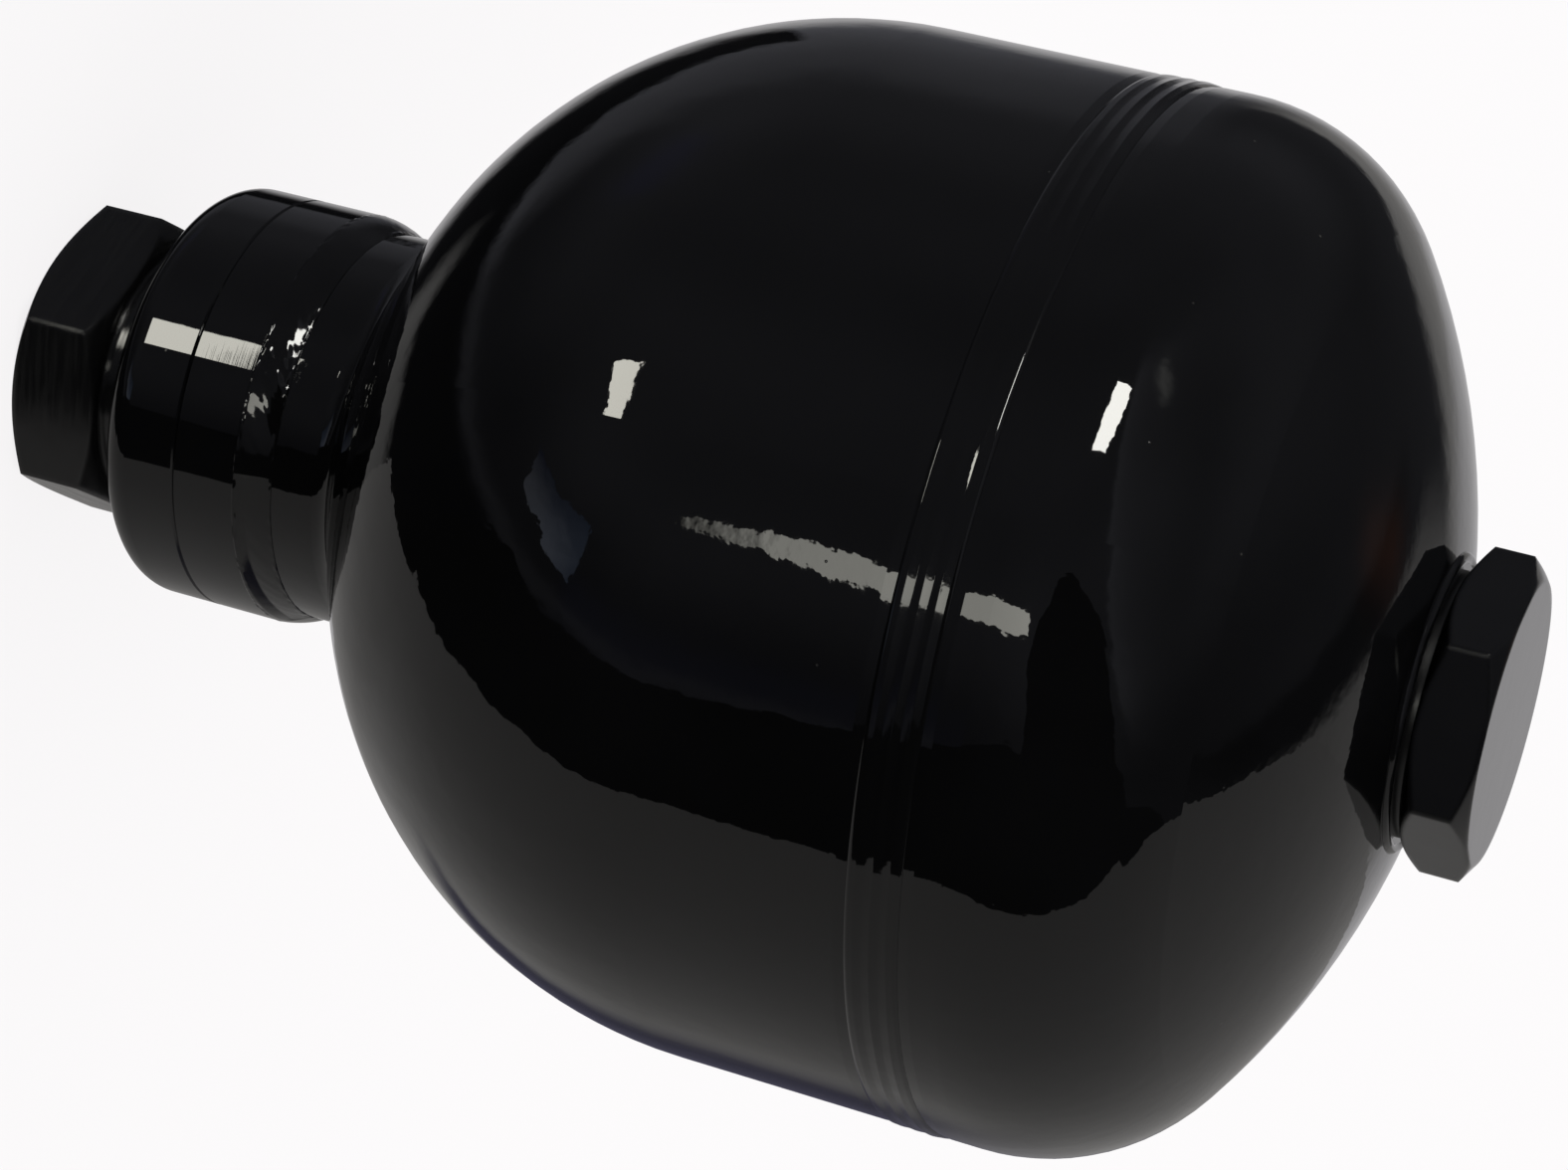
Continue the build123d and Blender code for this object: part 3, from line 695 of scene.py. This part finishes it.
def window_lights():
    """The three bright windows and the patch of sky that the gloss shows."""
    low_pane = [(0.42, -0.060, -0.2035), (0.42, -0.155, -0.245), (0.42, -0.165, -0.225),
                (0.42, -0.160, -0.166), (0.42, -0.054, -0.166)]
    card("stage_window_a", low_pane, 12.5, (1, 0.98, 0.88))
    tall_pane = [(0.4327, -0.3406, 0.2045), (0.4221, -0.3346, 0.266), (0.498, -0.2125, 0.2667),
                 (0.5102, -0.2146, 0.205)]
    card("stage_window_b", tall_pane, 22.0, (1, 0.99, 0.94))
    upper = [(0.619, 0.0901, -0.0995), (0.626, 0.0746, -0.0748), (0.6293, 0.0898, -0.0454),
             (0.6522, 0.0998, 0.161)]
    lower = [(0.638, 0.1617, 0.1869), (0.6179, 0.150, -0.0436), (0.6185, 0.1231, -0.0733),
             (0.6159, 0.1103, -0.0989)]
    warm = Vector((5.2, 5.15, 4.7))
    shaded_card("stage_window_c", upper + lower, [(0, 1, 6, 7), (1, 2, 5, 6), (2, 3, 4, 5)],
                [tuple(warm * part) for part in (0.02, 0.75, 0.8, 1.0, 1.0, 0.8, 0.75, 0.02)])
    start, reach = Vector((0.058, 0.011, 0.087)), 2.5
    directions = [(0.555, 0.116, -0.824), (0.605, -0.004, -0.796), (0.692, 0.131, -0.710),
                  (0.784, 0.230, -0.577), (0.741, 0.328, -0.586), (0.679, 0.408, -0.610),
                  (0.636, 0.299, -0.711)]
    sky = [start + Vector(q) * reach for q in directions]
    sky_lights = [(0.34, 0.36, 0.42), (0.05, 0.06, 0.10), (0.10, 0.12, 0.18), (0.12, 0.16, 0.25),
                  (0.20, 0.25, 0.36), (0.16, 0.20, 0.30), (0.45, 0.50, 0.62)]
    shaded_card("stage_sky", sky, [(0, 1, 2, 6), (2, 3, 4, 6), (4, 5, 6)], sky_lights)


def camera():
    data = bpy.data.cameras.new("camera")
    data.sensor_width = 36.0
    data.lens = 93.25
    obj = bpy.data.objects.new("camera", data)
    turn = Matrix((VIEW_RIGHT, VIEW_UP, VIEW_BACK)).transposed()
    obj.matrix_world = Matrix.Translation((0.4411, 0.0542, 0.2393)) @ turn.to_4x4()
    bpy.context.scene.collection.objects.link(obj)
    bpy.context.scene.camera = obj


# ---- put together ----
def dress_frame():
    shell = enamel("shell_enamel")
    neck = turned_enamel("neck_enamel")
    hexagon = hexagon_enamel("hexagon_enamel")
    plug = plug_enamel("plug_enamel")
    steel = bare_steel("plain_steel")
    ring = turned_enamel("seal_enamel", tone=0.004, gloss=0.28)
    seal = rubber("seal_rubber", 0.015)
    weld = weld_enamel("weld_enamel")
    choice = {"fluid_shell": shell, "gas_shell": shell, "port_neck": neck, "port_adapter": hexagon,
              "gas_boss": neck, "boss_weld": weld, "gas_plug": plug, "seal_washer": ring, "seal_lip": seal,
              "port_seal": seal, "button": steel, "clamp_ring": steel, "backing_ring": steel}
    for name, material in choice.items():
        dress(NODES[name], material)
    seam_piece(weld)
    neck_weld_piece(weld)
    bladder_piece(rubber("bladder_rubber"))


dress_frame()
camera()
world()
sun()
stage()
room()
table_cards()
person_card()
window_lights()
bpy.context.scene.view_settings.view_transform = "Standard"
